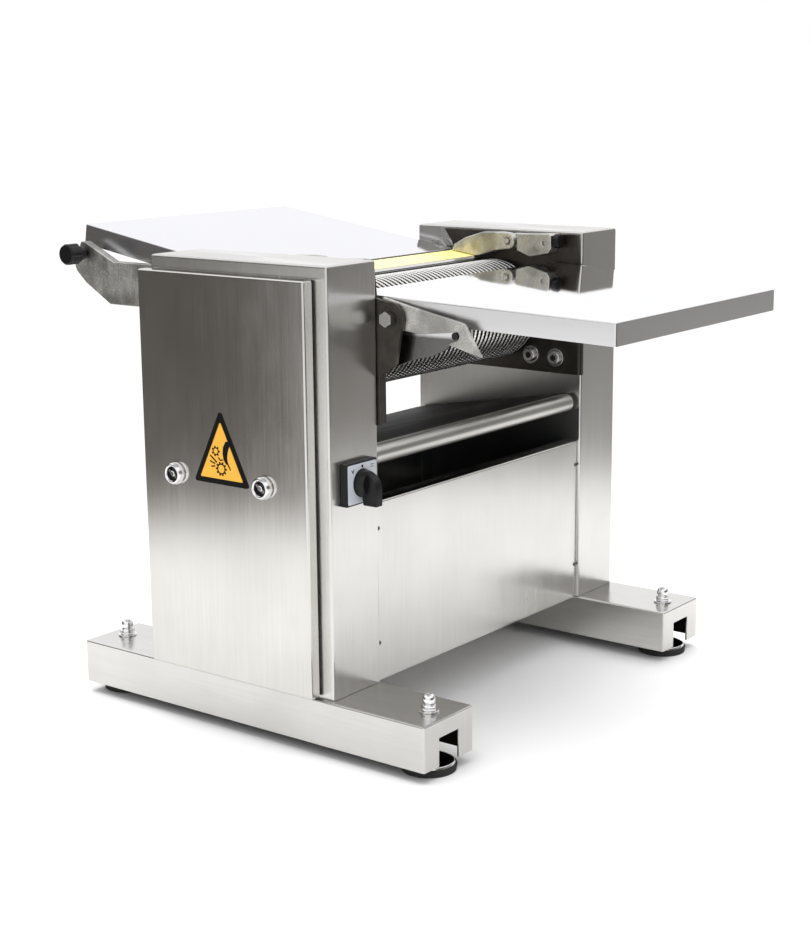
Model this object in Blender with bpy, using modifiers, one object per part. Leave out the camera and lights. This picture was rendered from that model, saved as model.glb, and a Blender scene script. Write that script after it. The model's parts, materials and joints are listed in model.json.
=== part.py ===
"""Bench-top pork skinning machine: metres, +Z up, operator and front table at -Y, drive side at -X."""

import math

import bmesh
import bpy
from mathutils import Matrix, Vector

MM = 0.001
GAP = 0.3

# Overall frame. The machine frame has X = 0 midway between the side boxes and Z = 0 on the bench.
CENTRE_X = -10.0
CENTRE_Y = -31.7
BEAM_OUT = 310.0
BEAM_IN = 217.4
BEAM_HALF_LENGTH = 268.0
BEAM_BOTTOM = 14.0
BEAM_TOP = 67.9
BEAM_SHEET = 2.5
BOX_IN = 217.4
BOX_OUT = 302.9
BOX_FRONT = -135.4
BOX_BACK = 132.8
BOX_TOP = 561.7
BOX_BOTTOM = BEAM_TOP + GAP
BOX_SHEET = 2.5

# Feet.
FOOT_X = 263.7
FOOT_Y = 240.0
PAD_RADIUS = 32.0
PAD_HEIGHT = 8.0
STUD_RADIUS = 5.0

# Toothed roller and its drive.
ROLLER_Y = -9.0
ROLLER_Z = 456.0
ROLLER_RADIUS = 66.3
ROLLER_HALF = 203.0
GROOVE_DEPTH = 3.6
GROOVE_COUNT = 45
ROLLER_BORE = 52.0
ROLLER_RECESS = 70.0
SHAFT_RADIUS = 14.7
SPROCKET_X = -262.0
SPROCKET_WIDTH = 8.0
ROLLER_TEETH = 30
MOTOR_TEETH = 15
CHAIN_PITCH = 9.525
MOTOR_Y = -9.0
MOTOR_Z = 178.0

# Panels, tray and plates between the side boxes.
SPAN = 217.0
PANEL_TOP = 284.0
PANEL_FRONT = -131.0
TRAY_NOSE_Y = -117.0
TRAY_NOSE_Z = 336.0
TRAY_NOSE_RADIUS = 12.0
TRAY_BACK_Y = 129.0
TRAY_BACK_Z = 305.0
TRAY_HALF = 210.0
PLATE_OUT = 217.1
PLATE_IN = 212.3
PAD_IN = 204.6

# Front table.
FRONT_TABLE_BACK = -93.0
FRONT_TABLE_FRONT = -426.5
FRONT_TABLE_HALF_BACK = 205.8
FRONT_TABLE_HALF_FRONT = 184.4
FRONT_TABLE_Z_BACK = 522.1
FRONT_TABLE_Z_FRONT = 509.3
TABLE_FLANGE = 26.0
TABLE_SHEET = 2.0
HOOK_BOLT_Y = -154.0
HOOK_BOLT_Z = 497.0
HOOK_Y = -240.0
HOOK_Z = 483.5
HOOK_PIN_RADIUS = 4.3

# Rear table.
REAR_TABLE_FRONT = 59.5
REAR_TABLE_BACK = 358.8
REAR_TABLE_HALF_FRONT = 200.6
REAR_TABLE_HALF_BACK = 194.2
REAR_TABLE_Z_FRONT = 533.0
REAR_TABLE_Z_BACK = 580.9
CLAMP_Y = 337.0
CLAMP_Z = 546.0

# Blade holder.
HOLDER_Y = -37.0
HOLDER_Z = 548.0
HOLDER_HALF = 198.7
CLAMP_TOP_Y = 12.0
CLAMP_TOP_Z = 525.5
HOLDER_SLOPE = 0.136
ARM_IN = 186.0
ARM_OUT = 198.5

# Gear cover and switch, both on the left box.
COVER_OUT = 321.0
COVER_IN = 306.4
COVER_FRONT = -117.0
COVER_BACK = 137.0
COVER_TOP = 546.0
COVER_BOTTOM = 70.0
LOCK_YS = {"front": -53.0, "rear": 84.0}
LOCK_Z = 310.0
SWITCH_X = -259.0
SWITCH_Z = 316.5

FINISHES = {
    "brushed": ((0.62, 0.61, 0.59), 0.34, 1.0),
    "polished": ((0.80, 0.80, 0.80), 0.12, 1.0),
    "cast": ((0.66, 0.65, 0.62), 0.45, 1.0),
    "tooth": ((0.50, 0.49, 0.47), 0.38, 1.0),
    "chrome": ((0.85, 0.85, 0.86), 0.08, 1.0),
    "dark_steel": ((0.12, 0.12, 0.12), 0.50, 1.0),
    "blade": ((0.75, 0.75, 0.77), 0.15, 1.0),
    "bronze": ((0.55, 0.38, 0.18), 0.40, 1.0),
    "black_plastic": ((0.015, 0.015, 0.016), 0.40, 0.0),
    "white_plastic": ((0.80, 0.80, 0.78), 0.45, 0.0),
    "rubber": ((0.018, 0.018, 0.018), 0.80, 0.0),
    "motor_paint": ((0.12, 0.16, 0.20), 0.45, 0.0),
}

for old in list(bpy.data.objects):
    bpy.data.objects.remove(old, do_unlink=True)

parts = bpy.data.collections.new("pork_skinner")
bpy.context.scene.collection.children.link(parts)
cutters = bpy.data.collections.new("cutters")
cutters.hide_render = True
bpy.context.scene.collection.children.link(cutters)


# ---------------------------------------------------------------- shape helpers


def smooth_by_angle(limit):
    """A node group that shades smooth everything but the edges sharper than the limit."""
    group = bpy.data.node_groups.new("smooth_by_angle", "GeometryNodeTree")
    for direction in ("INPUT", "OUTPUT"):
        group.interface.new_socket("Geometry", in_out=direction, socket_type="NodeSocketGeometry")
    start = group.nodes.new("NodeGroupInput")
    smooth = group.nodes.new("GeometryNodeSetShadeSmooth")
    angle = group.nodes.new("GeometryNodeInputMeshEdgeAngle")
    sharp = group.nodes.new("FunctionNodeCompare")
    sharp.operation = "GREATER_THAN"
    sharp.inputs["B"].default_value = math.radians(limit)
    hard = group.nodes.new("GeometryNodeSetShadeSmooth")
    hard.domain = "EDGE"
    hard.inputs["Shade Smooth"].default_value = False
    end = group.nodes.new("NodeGroupOutput")
    group.links.new(start.outputs[0], smooth.inputs["Geometry"])
    group.links.new(angle.outputs[0], sharp.inputs["A"])
    group.links.new(smooth.outputs["Geometry"], hard.inputs["Geometry"])
    group.links.new(sharp.outputs[0], hard.inputs["Selection"])
    group.links.new(hard.outputs["Geometry"], end.inputs[0])
    return group


def scaled(point):
    """A machine-frame point in mm as a row-frame vector in metres."""
    x, y, z = point
    return Vector(((x - CENTRE_X) * MM, (y - CENTRE_Y) * MM, z * MM))


def add(name, mesh, finish=None):
    """A new object in the parts, or in the cutters when it has no finish."""
    obj = bpy.data.objects.new(name, mesh)
    if finish is None:
        obj.display_type = "WIRE"
        obj.hide_render = True
        cutters.objects.link(obj)
        return obj
    colour, roughness, metallic = FINISHES[finish]
    material = bpy.data.materials.new(name)
    material.use_nodes = True
    shader = material.node_tree.nodes["Principled BSDF"]
    shader.inputs["Base Color"].default_value = (*colour, 1.0)
    shader.inputs["Roughness"].default_value = roughness
    shader.inputs["Metallic"].default_value = metallic
    mesh.materials.append(material)
    parts.objects.link(obj)
    return obj


def mesh_from(name, bm):
    mesh = bpy.data.meshes.new(name)
    bmesh.ops.recalc_face_normals(bm, faces=bm.faces)
    if bm.calc_volume(signed=True) < 0:
        bmesh.ops.reverse_faces(bm, faces=bm.faces)
    bm.to_mesh(mesh)
    bm.free()
    return mesh


def block(name, low, high, finish=None):
    """A box between two opposite corners."""
    a, b = scaled(low), scaled(high)
    bm = bmesh.new()
    place = Matrix.Translation((a + b) / 2) @ Matrix.Diagonal((*(b - a), 1.0))
    bmesh.ops.create_cube(bm, size=1.0, matrix=place)
    return add(name, mesh_from(name, bm), finish)


def facing(bm, side):
    """The face that looks most along a side named like "-Z"."""
    direction = [0.0, 0.0, 0.0]
    direction["XYZ".index(side[1])] = float(side[0] + "1")
    return max(bm.faces, key=lambda face: face.normal.dot(Vector(direction)))


def pan(name, corners, open_sides, sheet, finish, bend=2.5):
    """Folded sheet: a six-sided block from its eight corners, with some sides left open."""
    bm = bmesh.new()
    bmesh.ops.create_cube(bm, size=2.0)
    for vert in bm.verts:
        vert.co = scaled(corners(*(int(c > 0) for c in vert.co)))
    bm.normal_update()
    bmesh.ops.recalc_face_normals(bm, faces=bm.faces)
    gone = [facing(bm, side) for side in open_sides]
    bmesh.ops.delete(bm, geom=gone, context="FACES")
    mesh = bpy.data.meshes.new(name)
    bm.to_mesh(mesh)
    bm.free()
    obj = add(name, mesh, finish)
    if bend:
        fold = obj.modifiers.new("bend", "BEVEL")
        fold.width = bend * MM
        fold.segments = 2
        fold.limit_method = "ANGLE"
        fold.angle_limit = math.radians(60)
    thick = obj.modifiers.new("sheet", "SOLIDIFY")
    thick.thickness = sheet * MM
    thick.offset = -1.0
    thick.use_even_offset = True
    return obj


def box_corners(low, high):
    """Corner function of an upright box."""

    def corner(i, j, k):
        return ((low[0], high[0])[i], (low[1], high[1])[j], (low[2], high[2])[k])

    return corner


def profile(name, outline, low, high, finish=None):
    """A Y-Z outline filled and extruded from X = low to X = high."""
    curve = bpy.data.curves.new(name, "CURVE")
    curve.dimensions = "2D"
    curve.fill_mode = "BOTH"
    curve.extrude = (high - low) / 2 * MM
    spline = curve.splines.new("POLY")
    spline.points.add(len(outline) - 1)
    for point, (y, z) in zip(spline.points, outline):
        point.co = ((y - CENTRE_Y) * MM, z * MM, 0.0, 1.0)
    spline.use_cyclic_u = True
    holder = bpy.data.objects.new(name, curve)
    cutters.objects.link(holder)
    graph = bpy.context.evaluated_depsgraph_get()
    mesh = bpy.data.meshes.new_from_object(holder.evaluated_get(graph))
    bpy.data.objects.remove(holder, do_unlink=True)
    bm = bmesh.new()
    bm.from_mesh(mesh)
    bpy.data.meshes.remove(mesh)
    bmesh.ops.remove_doubles(bm, verts=bm.verts, dist=1e-6)
    middle = ((low + high) / 2 - CENTRE_X) * MM
    turn = Matrix(((0, 0, 1, middle), (1, 0, 0, 0), (0, 1, 0, 0), (0, 0, 0, 1)))
    bm.transform(turn)
    return add(name, mesh_from(name, bm), finish)


def turned(name, outline, centre, axis, finish=None, steps=24):
    """A turned piece: (radius, distance along the axis) from one end of its outer side to the other."""
    mesh = bpy.data.meshes.new(name)
    verts = [(radius * MM, 0.0, along * MM) for radius, along in outline]
    mesh.from_pydata(verts, [(i, i + 1) for i in range(len(verts) - 1)], [])
    obj = add(name, mesh, finish)
    screw = obj.modifiers.new("turn", "SCREW")
    screw.steps = steps
    screw.render_steps = steps
    screw.use_merge_vertices = True
    screw.merge_threshold = 0.00001
    screw.use_smooth_shade = False
    obj.rotation_mode = "QUATERNION"
    obj.rotation_quaternion = Vector((0, 0, 1)).rotation_difference(Vector(axis))
    obj.location = scaled(centre)
    return obj


def ring_outline(inner, outer, low, high):
    """A closed rectangle for a turned ring, listed down its outer side first."""
    return [(inner, high), (outer, high), (outer, low), (inner, low), (inner, high)]


def rod(name, radius, low, high, centre, axis, finish=None, steps=20):
    outline = [(0.0, high), (radius, high), (radius, low), (0.0, low)]
    return turned(name, outline, centre, axis, finish, steps)


def cut(target, *tools):
    for tool in tools:
        step = target.modifiers.new("cut_" + tool.name, "BOOLEAN")
        step.operation = "DIFFERENCE"
        step.solver = "EXACT"
        step.object = tool


def weld(target, *pieces):
    for piece in pieces:
        step = target.modifiers.new("weld_" + piece.name, "BOOLEAN")
        step.operation = "UNION"
        step.solver = "EXACT"
        step.object = piece


def pivot(obj, point):
    """Moves the object's origin to its joint axis, leaving its shape in place."""
    target = scaled(point)
    move = obj.matrix_basis.inverted() @ target
    obj.data.transform(Matrix.Translation(-move))
    obj.location = target


def arc(centre, radius, start, end, count):
    """Points on a Y-Z arc; the angles are in degrees from +Y towards +Z."""
    steps = [math.radians(start + (end - start) * i / count) for i in range(count + 1)]
    return [(centre[0] + radius * math.cos(a), centre[1] + radius * math.sin(a)) for a in steps]


SIDES = (("left", -1), ("right", 1))


def between(side, a, b):
    """The X range a..b on one side, lowest first."""
    return sorted((side * a, side * b))


# ---------------------------------------------------------------- frame

for word, side in SIDES:
    low_x, high_x = between(side, BEAM_IN, BEAM_OUT)
    beam = pan(
        "foot_beam_" + word,
        box_corners((low_x, -BEAM_HALF_LENGTH, BEAM_BOTTOM), (high_x, BEAM_HALF_LENGTH, BEAM_TOP)),
        ["-Z"],
        BEAM_SHEET,
        "brushed",
    )
    notch = block(
        "notch_" + word,
        (side * FOOT_X - 18.5, -BEAM_HALF_LENGTH - 5, BEAM_BOTTOM - 5),
        (side * FOOT_X + 18.5, BEAM_HALF_LENGTH + 5, BEAM_BOTTOM + 33.5),
    )
    cut(beam, notch)
    for row, y in (("front", -FOOT_Y), ("rear", FOOT_Y)):
        spot = (side * FOOT_X, y, BEAM_TOP)
        cut(beam, rod(f"stud_hole_{row}_{word}", STUD_RADIUS + 0.5, -6, 6, spot, (0, 0, 1)))

for word, side in SIDES:
    low_x, high_x = between(side, BOX_IN, BOX_OUT)
    shell = pan(
        "side_box_" + word,
        box_corners((low_x, BOX_FRONT, BOX_BOTTOM), (high_x, BOX_BACK, BOX_TOP)),
        ["-Z"],
        BOX_SHEET,
        "brushed",
        bend=3.0,
    )
    bore_x = side * BOX_IN
    cut(shell, rod("shaft_hole_" + word, 30.0, -8, 8, (bore_x, ROLLER_Y, ROLLER_Z), (1, 0, 0), steps=28))
    if side < 0:
        wall = -BOX_OUT
        cut(shell, block("window_upper", (wall - 5, -95, 336), (wall + 5, 112, 524)))
        cut(shell, block("window_lower", (wall - 5, -95, 92), (wall + 5, 112, 286)))
        cut(shell, rod("drive_hole", 24.0, -8, 8, (bore_x, MOTOR_Y, MOTOR_Z), (1, 0, 0)))
        cut(shell, rod("switch_hole", 9.0, -8, 8, (SWITCH_X, BOX_FRONT, SWITCH_Z), (0, 1, 0)))
        cut(shell, rod("gland_hole", 8.3, -8, 8, (SWITCH_X, BOX_BACK, 110), (0, 1, 0)))
        for row, y in LOCK_YS.items():
            cut(shell, rod("lock_hole_" + row, 5.0, -6, 6, (wall, y, LOCK_Z), (1, 0, 0)))

pan(
    "front_panel",
    box_corners((-SPAN, PANEL_FRONT, BEAM_TOP + 2), (SPAN, PANEL_FRONT + 22, PANEL_TOP)),
    ["+Y", "-Z"],
    2.0,
    "brushed",
)
pan(
    "rear_panel",
    box_corners((-SPAN, BOX_BACK - 26, BEAM_TOP + 2), (SPAN, BOX_BACK - 3, TRAY_BACK_Z - 5)),
    ["-Y", "-Z"],
    2.0,
    "brushed",
)
block(
    "base_plate",
    (-SPAN, PANEL_FRONT + 2.4, BEAM_TOP - 1.4),
    (SPAN, BOX_BACK - 5.4, BEAM_TOP + 1.6),
    "brushed",
)

nose = (TRAY_NOSE_Y, TRAY_NOSE_Z)
tray_outline = [(TRAY_BACK_Y, TRAY_BACK_Z), (TRAY_BACK_Y, TRAY_BACK_Z - 2.5)]
tray_outline += [(TRAY_NOSE_Y + 10.5, TRAY_NOSE_Z + 5.2)]
tray_outline += arc(nose, TRAY_NOSE_RADIUS, 20, -255, 14)
profile("rind_tray", tray_outline, -TRAY_HALF, TRAY_HALF, "brushed")

# Bearing plates carry the roller and, on their front ears, the table hooks.
plate_outline = [(-139, 374), (60, 374), (96, 410), (96, 500), (68, 526), (71, 540), (84, 558)]
plate_outline += [(-129, 558), (-133, 519)]
plate_outline += arc((HOOK_BOLT_Y, HOOK_BOLT_Z), 19, 75, 215, 7)
plate_outline += [(-162, 446), (-139, 430)]
pad_outline = [(-138, 375), (60, 375), (95, 410), (95, 470), (40, 480), (-30, 480), (-88, 444), (-138, 440)]
for word, side in SIDES:
    low_x, high_x = between(side, PLATE_IN, PLATE_OUT)
    plate = profile("bearing_plate_" + word, plate_outline, low_x, high_x, "dark_steel")
    low_x, high_x = between(side, PAD_IN, PLATE_IN + 1)
    weld(plate, profile("bearing_pad_" + word, pad_outline, low_x, high_x))
    inward = (-side, 0, 0)
    face = side * PAD_IN
    for number, y in enumerate((-65.0, -104.0)):
        z = 397.0 - number
        weld(plate, rod(f"bearing_washer_{word}_{number}", 12.0, -2, 1.6, (face, y, z), inward, steps=20))
        weld(plate, rod(f"bearing_bolt_{word}_{number}", 8.5, -1, 7, (face, y, z), inward, steps=6))
    centre = (face, ROLLER_Y, ROLLER_Z)
    cut(plate, rod("bearing_bore_" + word, 22.0, -20, 15, centre, inward, steps=24))
    ear = (face, HOOK_BOLT_Y, HOOK_BOLT_Z)
    cut(plate, rod("ear_bore_" + word, 5.3, -20, 12, ear, inward, steps=20))
    turned("roller_bush_" + word, ring_outline(15.0, 21.6, -13.0, 0.6), centre, inward, "bronze", steps=28)

# ---------------------------------------------------------------- hooks and brackets

hook_outline = [(-139.5, 520), (-165, 514.5), (-192, 509), (-251, 498), (-275, 462), (-229, 473.5)]
hook_outline += [(HOOK_Y + 3.0, HOOK_Z - 6.6)]
hook_outline += arc((HOOK_Y, HOOK_Z), 5.4, 292, 112, 6)[1:]
hook_outline += [(HOOK_Y + 9, HOOK_Z + 3.0), (-192, 482), (-171, 484), (-139.5, 480)]
for word, side in SIDES:
    low_x, high_x = between(side, 206.6, 212.0)
    hook = profile("table_hook_" + word, hook_outline, low_x, high_x, "cast")
    axis = (side, 0, 0)
    bolt_spot = (side * 209, HOOK_BOLT_Y, HOOK_BOLT_Z)
    cut(hook, rod("hook_bore_" + word, 5.3, -12, 12, bolt_spot, axis, steps=20))
    turned(
        "hook_bolt_" + word,
        [(0, 9.5), (9.2, 9.5), (9.2, 0.3), (5.0, 0.3), (5.0, -10.0), (0, -10.0)],
        (side * PLATE_OUT, HOOK_BOLT_Y, HOOK_BOLT_Z),
        axis,
        "chrome",
        steps=6,
    )

knob_outline = [(0, 33), (11.5, 33), (13.2, 31), (13.2, 15), (9.0, 13), (9.0, 5)]
knob_outline += [(4.2, 5), (4.2, -22.0), (0, -22.0)]
rear_outline = [(344, 560), (338, 560), (287, 537), (100, 537), (96, 543), (84, 543), (76, 535), (76, 520)]
rear_outline += [(98, 508), (98, 483), (295, 483)]
rear_outline += [(338, 508), (354, 522), (357, 528)]
for word, side in SIDES:
    low_x, high_x = between(side, 205.0, PLATE_OUT)
    bracket = profile("rear_bracket_" + word, rear_outline, low_x, high_x, "cast")
    axis = (side, 0, 0)
    cut(bracket, rod("clamp_bore_" + word, 4.6, -9, 9, (side * 211, CLAMP_Y, CLAMP_Z), axis, steps=20))
    knob = turned(
        "table_clamp_" + word,
        knob_outline,
        (side * 217.4, CLAMP_Y, CLAMP_Z),
        axis,
        "black_plastic",
        steps=24,
    )
    for index in range(6):
        angle = math.radians(60 * index)
        offset = (side * 217.4, CLAMP_Y + 15.0 * math.cos(angle), CLAMP_Z + 15.0 * math.sin(angle))
        cut(knob, rod(f"knob_flute_{word}_{index}", 3.4, 14, 36, offset, axis, steps=10))

# ---------------------------------------------------------------- blade holder and its pivots


def on_holder(y, depth):
    """A point `depth` mm below the sloping top of the blade clamp."""
    return (y, CLAMP_TOP_Z + (y - CLAMP_TOP_Y) * HOLDER_SLOPE - depth)


pivot_outline = arc((HOLDER_Y, HOLDER_Z), 9.5, -90, 90, 6) + [(-60, 557.5), (-60, 538.5)]
block_outline = [(-50, 536), (-50, 555.5), (-52, 557.5), (-101.5, 559.4), (-103.5, 557.5)]
block_outline += [(-103.5, 541), (-98.5, 534.5), (-73, 529.2), (-69, 529.2)]
for word, side in SIDES:
    low_x, high_x = between(side, 199.0, PLATE_IN - GAP)
    bracket = profile("holder_bracket_" + word, pivot_outline, low_x, high_x, "cast")
    axis = (side, 0, 0)
    hinge = rod("holder_pin_" + word, 4.0, -14, 12, (side * 198, HOLDER_Y, HOLDER_Z), axis, steps=16)
    low_x, high_x = between(side, 190.0, PLATE_IN - GAP)
    weld(bracket, hinge, profile("bracket_block_" + word, block_outline, low_x, high_x))
    knob_end = (side * 201, -103.5, 550.3)
    cut(bracket, rod("bracket_hole_" + word, 3.0, -3, 5.5, (side * 190, -92.5, 547), axis, steps=14))
    cut(bracket, rod("adjuster_bore_" + word, 3.6, -26, 3, knob_end, (0, -1, 0), steps=14))
    turned(
        "depth_knob_" + word,
        [(0, 9.3), (8.4, 9.3), (9.6, 8.1), (9.6, 1.6), (8.4, 0.3), (3.2, 0.3), (3.2, -18), (0, -18)],
        knob_end,
        (0, -1, 0),
        "black_plastic",
        steps=20,
    )

arm_outline = [(53.5, 531.6), (50, 540), (31, 550), (3, 558.5), (-26, 559.5)]
arm_outline += arc((HOLDER_Y, HOLDER_Z), 11.0, 100, 275, 7)
arm_outline += [(-18, 534.5), (8, 526.5), (14, 526.2)]
for word, side in SIDES:
    low_x, high_x = between(side, ARM_IN, ARM_OUT)
    arm = profile("holder_arm_" + word, arm_outline, low_x, high_x, "cast")
    centre = (side * 192, HOLDER_Y, HOLDER_Z)
    cut(arm, rod("arm_bore_" + word, 4.3, -14, 14, centre, (1, 0, 0), steps=16))
    pivot(arm, centre)

holder_outline = [on_holder(17, 3.9), on_holder(55, 3.9), (53, 518), (47, 508), (42, 504), (26, 516.6)]
bar = profile("blade_holder", holder_outline, -HOLDER_HALF, HOLDER_HALF, "brushed")
blade_outline = [on_holder(8.2, 3.2), on_holder(11, 2.8), on_holder(40, 2.8)]
blade_outline += [on_holder(40, 3.6), on_holder(11, 3.6)]
blade = profile("skinning_blade", blade_outline, -HOLDER_HALF + 1, HOLDER_HALF - 1, "blade")
clamp_outline = [on_holder(12, 2.2), on_holder(14, 0.0), on_holder(55, 0.0)]
clamp_outline += [on_holder(55, 2.5), on_holder(12, 2.5)]
clamp = profile("blade_clamp", clamp_outline, -HOLDER_HALF, HOLDER_HALF, "brushed")
for piece in (bar, blade, clamp):
    pivot(piece, (0, HOLDER_Y, HOLDER_Z))

comb_outline = [(64, 400), (120, 368), (124, 374), (100, 394), (68, 412), (61.5, 411)]
profile("stripper_comb", comb_outline, -PAD_IN + 0.5, PAD_IN - 0.5, "brushed")

# ---------------------------------------------------------------- roller and drive

pitch = 2 * ROLLER_HALF / GROOVE_COUNT
roller_outline = [(0, 229), (SHAFT_RADIUS, 229), (SHAFT_RADIUS, ROLLER_HALF - 4)]
roller_outline += [(20, ROLLER_HALF - ROLLER_RECESS)]
roller_outline += [(ROLLER_BORE, ROLLER_HALF - ROLLER_RECESS), (ROLLER_BORE, ROLLER_HALF)]
roller_outline += [(ROLLER_RADIUS - GROOVE_DEPTH, ROLLER_HALF)]
for groove in range(GROOVE_COUNT):
    top = ROLLER_HALF - groove * pitch
    roller_outline.append((ROLLER_RADIUS, top - pitch / 2))
    roller_outline.append((ROLLER_RADIUS - GROOVE_DEPTH, top - pitch))
roller_outline += [(ROLLER_BORE, -ROLLER_HALF), (ROLLER_BORE, ROLLER_RECESS - ROLLER_HALF)]
roller_outline += [(20, ROLLER_RECESS - ROLLER_HALF), (SHAFT_RADIUS, 4 - ROLLER_HALF)]
roller_outline += [(SHAFT_RADIUS, -272), (0, -272)]
turned("tooth_roller", roller_outline, (0, ROLLER_Y, ROLLER_Z), (1, 0, 0), "tooth", steps=28)


def pitch_radius(teeth):
    return CHAIN_PITCH / (2 * math.sin(math.pi / teeth))


def toothed(name, teeth, centre_y, centre_z, bore):
    """A plain-cut chain wheel with a round bore."""
    root = pitch_radius(teeth) - 3.1
    tip = pitch_radius(teeth) + 2.4
    points = []
    for tooth in range(teeth):
        for part, radius in ((-0.36, root), (-0.14, tip), (0.14, tip), (0.36, root)):
            angle = 2 * math.pi * (tooth + part) / teeth
            points.append((centre_y + radius * math.cos(angle), centre_z + radius * math.sin(angle)))
    half = SPROCKET_WIDTH / 2
    wheel = profile(name, points, SPROCKET_X - half, SPROCKET_X + half, "dark_steel")
    cut(wheel, rod(name + "_bore", bore, -20, 20, (SPROCKET_X, centre_y, centre_z), (1, 0, 0)))
    pivot(wheel, (SPROCKET_X, centre_y, centre_z))
    return wheel


toothed("roller_sprocket", ROLLER_TEETH, ROLLER_Y, ROLLER_Z, SHAFT_RADIUS + GAP)
toothed("motor_sprocket", MOTOR_TEETH, MOTOR_Y, MOTOR_Z, 10.0 + GAP)

big = pitch_radius(ROLLER_TEETH) + 3.2
small = pitch_radius(MOTOR_TEETH) + 3.2
loop_out = arc((ROLLER_Y, ROLLER_Z), big + 6, 0, 180, 16) + arc((MOTOR_Y, MOTOR_Z), small + 6, 180, 360, 12)
loop_in = arc((ROLLER_Y, ROLLER_Z), big, 0, 180, 16) + arc((MOTOR_Y, MOTOR_Z), small, 180, 360, 12)
chain = profile("drive_chain", loop_out, SPROCKET_X - 5, SPROCKET_X + 5, "dark_steel")
cut(chain, profile("chain_inside", loop_in, SPROCKET_X - 9, SPROCKET_X + 9))

gearmotor = block("gearmotor", (-200, -65, 122), (-122, 47, 234), "motor_paint")
shave = gearmotor.modifiers.new("edge", "BEVEL")
shave.width = 8 * MM
shave.segments = 1
shaft = rod("motor_shaft", 9.6, -30, 68, (-190, MOTOR_Y, MOTOR_Z), (-1, 0, 0))
motor_outline = [(0, 186), (40, 186), (48, 180), (48, 150), (45, 149), (45, -10), (0, -10)]
motor_body = turned("motor_body", motor_outline, (-124, MOTOR_Y, MOTOR_Z), (1, 0, 0))
gear_foot = block("gear_foot", (-192, -50, BEAM_TOP + 2), (-132, 32, 125))
motor_foot = block("motor_foot", (-10, -36, BEAM_TOP + 2), (14, 18, 150))
weld(gearmotor, shaft, motor_body, gear_foot, motor_foot)

block("control_box", (140, -70, BEAM_TOP + 2), (196, 70, 190), "white_plastic")

# ---------------------------------------------------------------- tables


def front_corner(i, j, k):
    half = (FRONT_TABLE_HALF_FRONT, FRONT_TABLE_HALF_BACK)[j]
    y = (FRONT_TABLE_FRONT, FRONT_TABLE_BACK)[j]
    top = (FRONT_TABLE_Z_FRONT, FRONT_TABLE_Z_BACK)[j]
    return ((-half, half)[i], y, (top - TABLE_FLANGE, top)[k])


front_table = pan("front_table", front_corner, ["-Z", "+Y"], TABLE_SHEET, "polished")
clear = block("roller_clearance", (-220, -128, 480), (220, -80, 516.5))
cut(front_table, clear)
gusset_outline = [(-151, 500), (-151, 441), (-173, 450), (-201, 457), (-216, 464.5), (-228, 474)]
gusset_outline += arc((HOOK_Y, HOOK_Z), 10, 300, 180, 4) + [(HOOK_Y - 10, 500)]
narrowing = FRONT_TABLE_HALF_BACK - FRONT_TABLE_HALF_FRONT
table_taper = math.atan2(narrowing, FRONT_TABLE_BACK - FRONT_TABLE_FRONT)
for word, side in SIDES:
    low_x, high_x = between(side, 194.0, 198.4)
    gusset = profile("gusset_" + word, gusset_outline, low_x, high_x)
    pivot(gusset, (side * 198.4, -200, 480))
    gusset.rotation_euler = (0, 0, -side * table_taper)
    pin_root = (side * 200, HOOK_Y, HOOK_Z)
    stub = rod("hook_pin_" + word, HOOK_PIN_RADIUS, -7, 12.6, pin_root, (side, 0, 0), steps=16)
    weld(front_table, gusset, stub)
pivot(front_table, (0, HOOK_Y, HOOK_Z))


def rear_corner(i, j, k):
    half = (REAR_TABLE_HALF_FRONT, REAR_TABLE_HALF_BACK)[j]
    y = (REAR_TABLE_FRONT, REAR_TABLE_BACK)[j]
    top = (REAR_TABLE_Z_FRONT, REAR_TABLE_Z_BACK)[j]
    return ((-half, half)[i], y + (0 if k else 4.1), (top - TABLE_FLANGE, top)[k])


rear_table = pan("rear_table", rear_corner, ["-Z", "-Y"], TABLE_SHEET, "polished")
pivot(rear_table, (0, CLAMP_Y, CLAMP_Z))

# ---------------------------------------------------------------- gear cover and switch

cover = pan(
    "gear_cover",
    box_corners((-COVER_OUT, COVER_FRONT, COVER_BOTTOM), (-COVER_IN, COVER_BACK, COVER_TOP)),
    ["+X"],
    2.0,
    "brushed",
)
gasket = block(
    "cover_gasket",
    (-COVER_IN + GAP, COVER_FRONT + 2, COVER_BOTTOM + 2),
    (-BOX_OUT - GAP, BOX_BACK - 1, COVER_TOP - 2),
    "rubber",
)
inside_low = (-COVER_IN - 5, COVER_FRONT + 12, COVER_BOTTOM + 14)
inside_high = (-BOX_OUT + 5, BOX_BACK - 11, COVER_TOP - 14)
cut(gasket, block("gasket_inside", inside_low, inside_high))
for row, y in LOCK_YS.items():
    cut(cover, rod("cover_hole_" + row, 5.0, -8, 8, (-COVER_OUT, y, LOCK_Z), (1, 0, 0)))
    lock = turned(
        "cover_lock_" + row,
        [(0, 9), (9.5, 9), (13.0, 6.5), (13.4, 0.3), (4.4, 0.3), (4.4, -24), (0, -24)],
        (-COVER_OUT, y, LOCK_Z),
        (-1, 0, 0),
        "chrome",
        steps=28,
    )
    slot_low = (-COVER_OUT - 12, y - 8, LOCK_Z - 1.5)
    slot_high = (-COVER_OUT - 5.5, y + 8, LOCK_Z + 1.5)
    cut(lock, block("lock_slot_" + row, slot_low, slot_high))

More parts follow.
